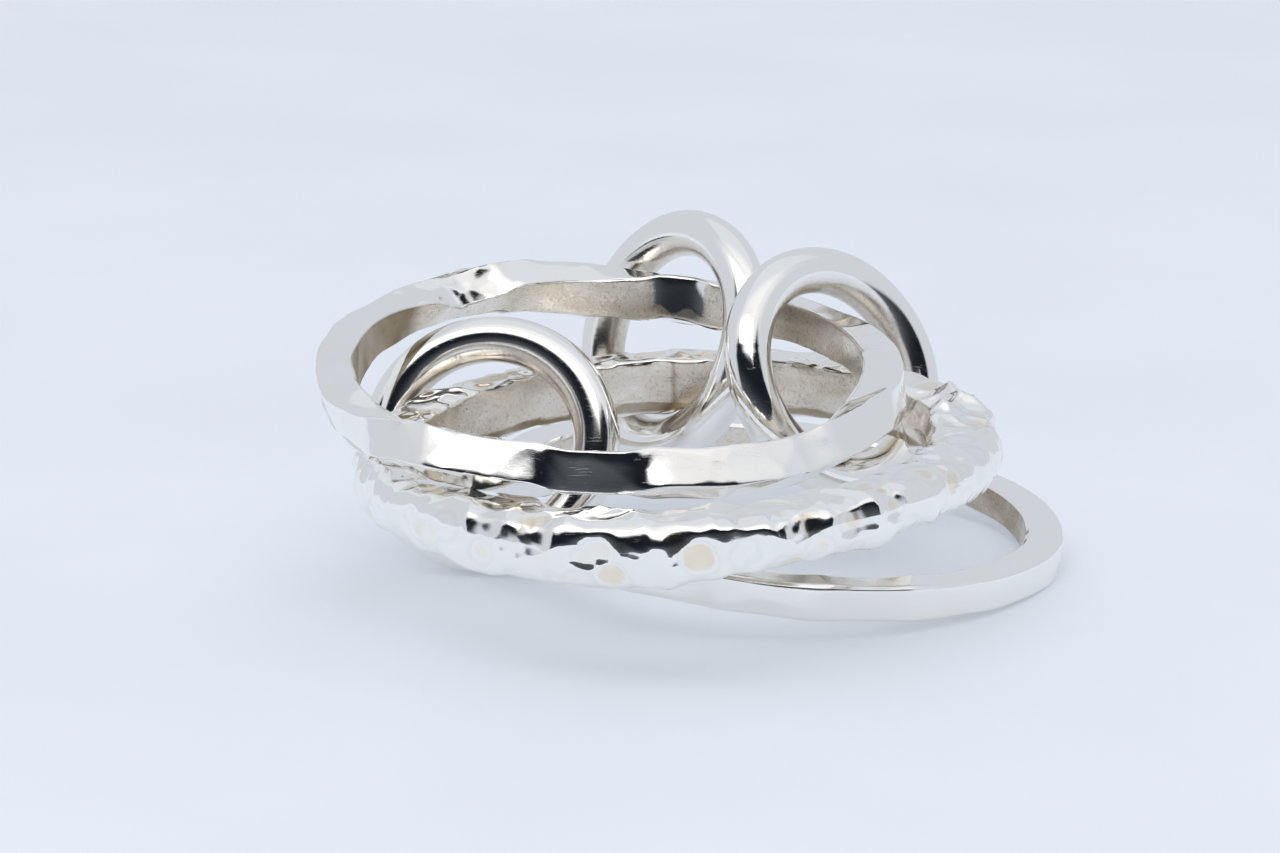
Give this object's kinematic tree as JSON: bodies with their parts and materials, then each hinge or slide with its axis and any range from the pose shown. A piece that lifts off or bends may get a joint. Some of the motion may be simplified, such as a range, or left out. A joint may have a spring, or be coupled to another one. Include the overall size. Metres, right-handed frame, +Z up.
{
  "type": "rolling ring",
  "caption": "Rolling ring of interlinked silver bands: an uneven flattened band, a hammered band and a plain square band, held together by round wire links.",
  "frame": {"origin": "under the middle of the heap's bounding box, on the surface it rests on", "axes": "+Z up from the surface, +Y away from the viewer of the picture, +X to the viewer's right"},
  "size_m": [0.0254, 0.0264, 0.0111],
  "materials": {
    "polished_silver": "polished silver with fine scratches, satin inner wall",
    "hammered_silver": "polished hammered silver, satin inner wall",
    "wire_silver": "polished silver wire with fine scratches"
  },
  "bodies": {
    "root": {"top_band": "polished_silver", "hammered_band": "hammered_silver", "square_band": "polished_silver", "left_connector": "wire_silver", "right_connector": "wire_silver", "back_connector": "wire_silver"}
  },
  "joints": []
}
